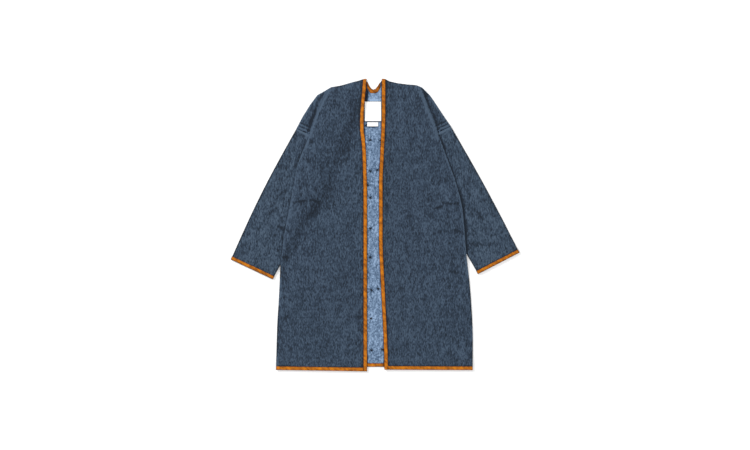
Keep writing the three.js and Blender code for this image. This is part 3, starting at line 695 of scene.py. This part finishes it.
def twill_tape(name, turn):
    """Orange-tan tape cut on the bias: diagonal ribs, a little faded on its crown."""
    nodes = Nodes(name, roughness=0.85)
    ribs = nodes.stripes(620, turn, distortion=1.2)
    patches = nodes.speckle((60, 60, 60), 0, detail=3.0)
    # Orange-tan tape cut on the bias: diagonal ribs, lighter on its crown, with painted shade along its
    # rounded edges.
    value = nodes.total(
        # the relief's tone, which the edges take down as painted shade, then the painted shade of the edges
        nodes.painted("fade_and_painted_shade", 0.4),
        nodes.painted("shade", -0.2),
        nodes.math("MULTIPLY", ribs, 0.2),
        nodes.math("MULTIPLY", patches, 0.3),
    )
    stops = [(0.15, (0.1, 0.028, 0.001)), (0.45, (0.44, 0.128, 0.002)), (0.79, (0.68, 0.23, 0.006))]
    color = nodes.ramp(value, stops)
    return nodes.finish(color, [(ribs, 0.3, 0.6), (patches, 0.6, 0.4)])


def woven_label(name):
    """White satin label, bare, with a fine cross rib."""
    nodes = Nodes(name, roughness=0.45, sheen=0.1)
    ribs = nodes.stripes(1400, 90, distortion=0.3)
    patches = nodes.speckle((70, 70, 70), 0)
    color = nodes.ramp(patches, [(0.2, (0.86, 0.86, 0.85)), (0.8, (0.95, 0.95, 0.94))])
    return nodes.finish(color, [(ribs, 0.08, 0.4), (patches, 0.3, 0.3)])


def thread(name, color, light):
    """Twisted cotton thread."""
    nodes = Nodes(name, roughness=0.7)
    twist = nodes.stripes(1800, 40, distortion=0.4)
    return nodes.finish(nodes.ramp(twist, [(0.2, color), (0.8, light)]), [(twist, 0.1, 0.5)])


# Pieces


def grain_of(side):
    """The turn of a sleeve's grain from the coat's length, in degrees."""
    sleeve = SLEEVES[side]
    run = np.subtract(sleeve["cuff"], sleeve["seam"])
    return math.degrees(math.atan2(run[0], -run[1]))


def turned(points, degrees):
    """Places across and along a grain that is turned from the coat's length."""
    angle = math.radians(degrees)
    x, y = points[:, 0], points[:, 1]
    return x * math.cos(angle) + y * math.sin(angle), y * math.cos(angle) - x * math.sin(angle)


def drop_seam(side):
    """The start of a drop seam, the way along it and the way down the sleeve."""
    sleeve = SLEEVES[side]
    seam, arm = np.array(sleeve["seam"], float), np.array(sleeve["arm"], float)
    across = (arm - seam) / np.linalg.norm(arm - seam)
    down = np.array([across[1], -across[0]])
    return seam, across, down * np.sign(down @ (np.array(sleeve["cuff"]) - seam))


def seam_rows(points, side):
    """Padded rows between the stitches of the drop seam."""
    seam, across, down = drop_seam(side)
    offset = points[:, :2] - seam
    along, past = offset @ across, offset @ down
    shown = soft(along / 6) * soft((SEAM_ROW_SHOWN + 20 - along) / 20) * (points[:, 2] < SHOULDER_TOP)
    height = np.zeros(len(points))
    for row in SEAM_ROWS:
        sway = 2.4 * (noise(along / 16, np.full(len(points), row / 10), SEEDS["rows"]) - 0.5)
        height -= 1.3 * np.exp(-(((past - row - sway) / 2.2) ** 2))
        height += 1.2 * np.exp(-(((past - row - sway - ROW_GAP) / 3.2) ** 2))
    return height * shown * (0.5 + 0.7 * noise(along / 11, past / 9, SEEDS["rows"] + 1))


def outer_relief(name, grain, seed, seams, lift=OUTER_LIFT):
    """The relief of a piece of outer cloth, with the padded rows of the drop seams that it reaches."""

    def relief(points):
        across, along = turned(points, grain)
        folds = crinkle(across, along, seed)
        rows = sum(seam_rows(points, side) for side in seams)
        height, painted_crease_shading, close = creases(name, points)
        # Its tone: the crinkle, faded on its crests and partly painted light and shade, with painted light
        # and shade on the padded rows and in the creases
        return lift + folds + height + rows, folds + 1.4 * rows + painted_crease_shading, close | (np.abs(rows) > 0.01)

    return relief


def lining_relief(points):
    """Puckers that run out from each knot over a soft crinkle."""
    folds = 0.7 * crinkle(points[:, 0], points[:, 1], SEEDS["lining"])
    height, painted_crease_shading, close = creases("back_lining", points)
    for number, (x, y, _) in enumerate(KNOTS):
        away = points[:, :2] - (x, y)
        reach = np.linalg.norm(away, axis=1)
        angle = np.arctan2(away[:, 1], away[:, 0])
        rays = np.cos(7 * angle + number) + 0.5 * np.cos(11 * angle + 2.3 * number)
        folds += 0.28 * rays * np.exp(-(((reach - 10) / 9) ** 2)) - 1.6 * np.exp(-((reach / 5) ** 2))
        close |= reach < 20
    # Its tone: the crinkle and the puckers painted pale on their crests and in shade in their hollows, no
    # darker than a floor, with the creases' painted light and shade
    return LINING_LIFT + folds + height, 0.8 * np.maximum(folds, -0.4) + painted_crease_shading, close


def tape_relief(seed):
    """The relief of a tape: a crown with small ripples."""

    def relief(points):
        ripple = noise((points[:, 0] + points[:, 1]) / 7, (points[:, 0] - points[:, 1]) / 15, seed) - 0.5
        return TAPE_CROWN + 0.5 * ripple, 0.5 + ripple, np.zeros(len(points), bool)

    return relief


def bound(name, seed, finish, rims=TAPE_RIMS):
    """A binding, painted in shade along both of its edges."""
    return shell(name, tape_relief(seed), [finish], fine=TAPE_FINE, ramp=5.5, smooth=6, rims=rims)


def label_relief(points):
    waves = noise(points[:, 0] / 14, points[:, 1] / 16, SEEDS["label"])
    return 0.5 * waves, waves, np.zeros(len(points), bool)


# Threads


def tube(way, radius):
    """Points and faces of a thread along a way, closed at both ends."""
    way = np.asarray(way, float)
    run = np.gradient(way, axis=0)
    run /= np.linalg.norm(run, axis=1, keepdims=True)
    side = np.cross(run, (0.02, 0.03, 1.0))
    side /= np.linalg.norm(side, axis=1, keepdims=True)
    top = np.cross(side, run)
    angles = np.arange(THREAD_SIDES) * 2 * math.pi / THREAD_SIDES
    thick = radius * np.where(np.isin(np.arange(len(way)), [0, len(way) - 1]), THREAD_TIP, 1.0)
    rings = way[:, None] + thick[:, None, None] * (
        np.cos(angles)[None, :, None] * side[:, None] + np.sin(angles)[None, :, None] * top[:, None]
    )
    faces = []
    for ring in range(len(way) - 1):
        here, over = ring * THREAD_SIDES, (ring + 1) * THREAD_SIDES
        for k in range(THREAD_SIDES):
            after = (k + 1) % THREAD_SIDES
            faces.append((here + k, here + after, over + after, over + k))
    end = (len(way) - 1) * THREAD_SIDES
    faces.append(tuple(reversed(range(THREAD_SIDES))))
    faces.append(tuple(range(end, end + THREAD_SIDES)))
    return rings.reshape(-1, 3), faces


def joined(name, tubes, material):
    """One piece from many threads."""
    points, faces, start = [], [], 0
    for corners, quads in tubes:
        points.append(corners)
        faces += [tuple(start + index for index in quad) for quad in quads]
        start += len(corners)
    piece = mesh_object(name, np.concatenate(points), faces, [material])
    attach(piece, BODY)
    return piece


class Cover:
    """The surfaces of the finished pieces, for what is sewn on them."""

    def __init__(self, pieces):
        points, triangles, start = [], [], 0
        for piece in pieces:
            data = piece.data
            corners = np.empty(3 * len(data.vertices))
            data.vertices.foreach_get("co", corners)
            faces = np.empty(3 * len(data.polygons), int)
            data.polygons.foreach_get("vertices", faces)
            points.append(corners.reshape(-1, 3) / MM)
            triangles.append(faces.reshape(-1, 3) + start)
            start += len(data.vertices)
        self.tree = tree_of(np.concatenate(points), np.concatenate(triangles))

    def height(self, x, y):
        hit = self.tree.ray_cast(Vector((x, y, ABOVE_ALL)), DOWN)[0]
        return None if hit is None else hit.z


def stitches(way, cover, length=2.6, pitch=3.6, radius=0.28):
    """Stitches along a way in the plane, each an arch from the cloth to the cloth."""
    way = np.asarray(way, float)
    steps = np.concatenate([[0], np.cumsum(np.linalg.norm(np.diff(way, axis=0), axis=1))])
    found = []
    for start in np.arange(pitch, steps[-1] - pitch, pitch):
        spots = start + length * np.array([0, 0.25, 0.5, 0.75, 1])
        places = np.stack([np.interp(spots, steps, way[:, k]) for k in range(2)], axis=1)
        heights = [cover.height(*place) for place in places]
        if None in heights:
            continue
        arch = radius * np.array([-0.9, 0.55, 0.8, 0.55, -0.9])
        found.append(tube(np.column_stack([places, heights + arch]), radius))
    return found


def crossings(name, values, axis):
    """Where a solid's outline lies along one axis at each value of the other: pairs of low and high."""
    points, triangles = SOLIDS[name]
    edges, _ = sides(triangles)
    a, b = points[edges[:, 0]], points[edges[:, 1]]
    found = []
    for value in values:
        passing = (a[:, 1 - axis] - value) * (b[:, 1 - axis] - value) < 0
        p, q = a[passing], b[passing]
        share = (value - p[:, 1 - axis]) / (q[:, 1 - axis] - p[:, 1 - axis])
        places = p[:, axis] + share * (q[:, axis] - p[:, axis])
        found.append((places.min(), places.max()))
    return np.array(found)


def knot(x, y, turn, cover):
    """A tied thread: a bar, a small loop over it and two short tails."""
    angle = math.radians(turn)
    ahead = np.array([math.cos(angle), math.sin(angle)])
    aside = np.array([-math.sin(angle), math.cos(angle)])
    base = (cover.height(x, y) or LINING_TOP) + 0.3

    def placed(spots):
        return [(*((x, y) + a * ahead + s * aside), base + z) for a, s, z in spots]

    bar = placed([(-4.4, 0, -0.9), (-2.6, 0.1, 0.5), (0, 0, 0.9), (2.6, -0.1, 0.5), (4.4, 0, -0.9)])
    turns = np.linspace(0, 2 * math.pi, 9)
    loop = placed([(1.7 * math.cos(t), 1.5 * math.sin(t), 1.2 + 0.4 * math.sin(2 * t)) for t in turns])
    tail = placed([(0.4, 0.4, 1.0), (2.2, 1.8, 1.1), (4.6, 2.6, 0.6), (7.2, 2.2, 0.3)])
    other = placed([(0.2, -0.5, 1.0), (2.0, -2.0, 1.0), (3.6, -3.6, 0.5), (6.0, -4.6, 0.3)])
    return [tube(bar, 2.1), tube(loop, 1.2)] + [tube(way, 0.8) for way in (tail, other)]


def tape_stitching(cover):
    """Stitches along the inner edge of the fronts' tapes, then of the hems' and the cuffs'."""
    rows = np.linspace(-505, 505, 120)
    left = crossings("binding_front_left", rows, 0)[:, 0] + TAPE_STITCH
    right = crossings("binding_front_right", rows, 0)[:, 1] - TAPE_STITCH
    ways = [np.column_stack([left, rows]), np.column_stack([right, rows])]
    for side in SLEEVES:
        low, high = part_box(f"binding_hem_{side}")
        places = np.linspace(low.x / MM + 4, high.x / MM - 4, 50)
        edge = crossings(f"binding_hem_{side}", places, 1)[:, 1]
        ways.append(np.column_stack([places, edge - TAPE_STITCH]))
    for sleeve in SLEEVES.values():
        cuff = np.array(sleeve["cuff"], float)
        run = sleeve["inner"] - cuff
        away = np.array([-run[1], run[0]]) / np.linalg.norm(run)
        away *= np.sign(away @ (sleeve["seam"] - cuff))
        start = cuff + CUFF_STITCH * away
        ways.append([start + 0.03 * run, start + 0.97 * run])
    return [part for way in ways for part in stitches(way, cover)]


def seam_stitching(cover):
    """Rows of stitches along the part of each drop seam that shows."""
    tubes = []
    for side in SLEEVES:
        seam, across, down = drop_seam(side)
        for row in SEAM_ROWS:
            start = seam + row * down + SEAM_STITCH * across
            tubes += stitches([start, start + SEAM_ROW_SHOWN * across], cover, radius=0.35)
    return tubes


def label_stitching(cover):
    """Stitches along the top and the bottom of each label."""
    tubes = []
    for label in ("label_main", "label_small"):
        low, high = (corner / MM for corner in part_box(label))
        left, right = low.x + LABEL_STITCH, high.x - LABEL_STITCH
        for y in (high.y - LABEL_STITCH, low.y + LABEL_STITCH):
            tubes += stitches([(left, y), (right, y)], cover, length=2.0, pitch=2.8, radius=0.2)
    return tubes


def lining_knots(cover):
    return [part for x, y, turn in KNOTS + PLAIN_KNOTS for part in knot(x, y, turn, cover)]


# The coat

DENIM_DARK = (0.006, 0.011, 0.019)
body_denim = denim("indigo_body", 0, DENIM_DARK, (0.0235, 0.04, 0.067), (0.058, 0.09, 0.136))
SLEEVE_MIDDLE, SLEEVE_LIGHT = (0.027, 0.046, 0.075), (0.066, 0.1, 0.146)
sleeve_denim = {
    side: denim(f"indigo_sleeve_{side}", grain_of(side), DENIM_DARK, SLEEVE_MIDDLE, SLEEVE_LIGHT)
    for side in SLEEVES
}
lining_cloth = chambray("chambray")
tape_cloth = {"body": twill_tape("tape_twill", 45), "cuff": twill_tape("tape_twill_cuff", 10)}
label_cloth = woven_label("label_satin")
navy_thread = thread("navy_thread", (0.003, 0.004, 0.008), (0.01, 0.013, 0.022))
indigo_thread = thread("indigo_thread", (0.02, 0.03, 0.05), (0.06, 0.08, 0.11))
orange_thread = thread("orange_thread", (0.3, 0.09, 0.008), (0.5, 0.17, 0.02))
white_thread = thread("white_thread", (0.7, 0.7, 0.69), (0.85, 0.85, 0.84))

pieces = {}
TAPES = {"front": ("body", TAPE_RIMS), "hem": ("body", TAPE_RIMS), "cuff": ("cuff", CUFF_RIMS)}
for number, side in enumerate(SLEEVES):
    front, sleeve, grain = f"front_{side}", f"sleeve_{side}", grain_of(side)
    relief = outer_relief(front, 0, SEEDS["front"] + SEED_STEP * number, [side])
    pieces[front] = shell(front, relief, [body_denim, lining_cloth])
    relief = outer_relief(sleeve, grain, SEEDS["sleeve"] + SEED_STEP * number, [side])
    looks = [sleeve_denim[side], lining_cloth]
    pieces[sleeve] = shell(sleeve, relief, looks, dents=0.35, rims=SLEEVE_RIMS[side])
    for part, (cut, rims) in TAPES.items():
        tape = f"binding_{part}_{side}"
        pieces[tape] = bound(tape, SEEDS["tape"] + number, tape_cloth[cut], rims)
relief = outer_relief("back", 0, SEEDS["back"], SLEEVES, BACK_LIFT)
pieces["back"] = shell("back", relief, [body_denim, lining_cloth], fine=BACK_FINE, dents=0.4, folded=False)
pieces["back_lining"] = shell(
    "back_lining", lining_relief, [lining_cloth], fine=LINING_FINE, ramp=8, deepest=0.5, rims=PLAIN_RIMS
)
pieces["binding_neck"] = bound("binding_neck", SEEDS["neck"], tape_cloth["body"], NECK_RIMS)
pieces["binding_hem_back"] = bound("binding_hem_back", SEEDS["neck"], tape_cloth["body"])
for label in ("label_main", "label_small"):
    pieces[label] = shell(
        label, label_relief, [label_cloth], fine=LABEL_FINE, ramp=4, smooth=3, rims=PLAIN_RIMS
    )

cover = Cover(pieces.values())
tape_stitches = joined("stitching_tape", tape_stitching(cover), orange_thread)
seam_stitches = joined("stitching_seam", seam_stitching(cover), indigo_thread)
label_stitches = joined("stitching_label", label_stitching(cover), white_thread)
knots = joined("lining_knots", lining_knots(cover), navy_thread)


# The stage


def floor():
    """A plain white floor, far wider than the coat."""
    size = 6.0
    data = bpy.data.meshes.new("floor")
    corners = [(-size, -size, 0), (size, -size, 0), (size, size, 0), (-size, size, 0)]
    data.from_pydata(corners, [], [(0, 1, 2, 3)])
    nodes = Nodes("floor_white", roughness=0.9)
    tone = nodes.speckle((2, 2, 2), 0)
    nodes.finish(nodes.ramp(tone, [(0, (0.96, 0.96, 0.96)), (1, (0.98, 0.98, 0.98))]), [(tone, 0.1, 0.1)])
    data.materials.append(nodes.material)
    piece = bpy.data.objects.new("floor", data)
    bpy.context.scene.collection.objects.link(piece)


def lamp(name, place, size, power):
    """A square lamp that points at the middle of the coat."""
    light = bpy.data.lights.new(name, "AREA")
    light.shape = "SQUARE"
    light.size = size
    light.energy = power
    item = bpy.data.objects.new(name, light)
    bpy.context.scene.collection.objects.link(item)
    item.location = place
    item.rotation_euler = (-Vector(place)).to_track_quat("-Z", "Y").to_euler()


def camera():
    """A long lens straight above the coat."""
    height, aside, view_width, sensor = 7.0, -0.001, 2.706, 36.0
    data = bpy.data.cameras.new("camera")
    data.sensor_width = sensor
    data.lens = sensor * height / view_width
    item = bpy.data.objects.new("camera", data)
    bpy.context.scene.collection.objects.link(item)
    item.location = (aside, 0, height)
    bpy.context.scene.camera = item


floor()
lamp("key", place=(-4.2, 3.5, 3.9), size=2.0, power=255)
lamp("overhead", place=(0.5, -0.4, 6.5), size=5.0, power=180)
world = bpy.data.worlds.new("studio")
world.use_nodes = True
world.node_tree.nodes["Background"].inputs["Color"].default_value = (1, 1, 1, 1)
world.node_tree.nodes["Background"].inputs["Strength"].default_value = 0.6
bpy.context.scene.world = world
camera()
bpy.context.scene.view_settings.view_transform = "Standard"
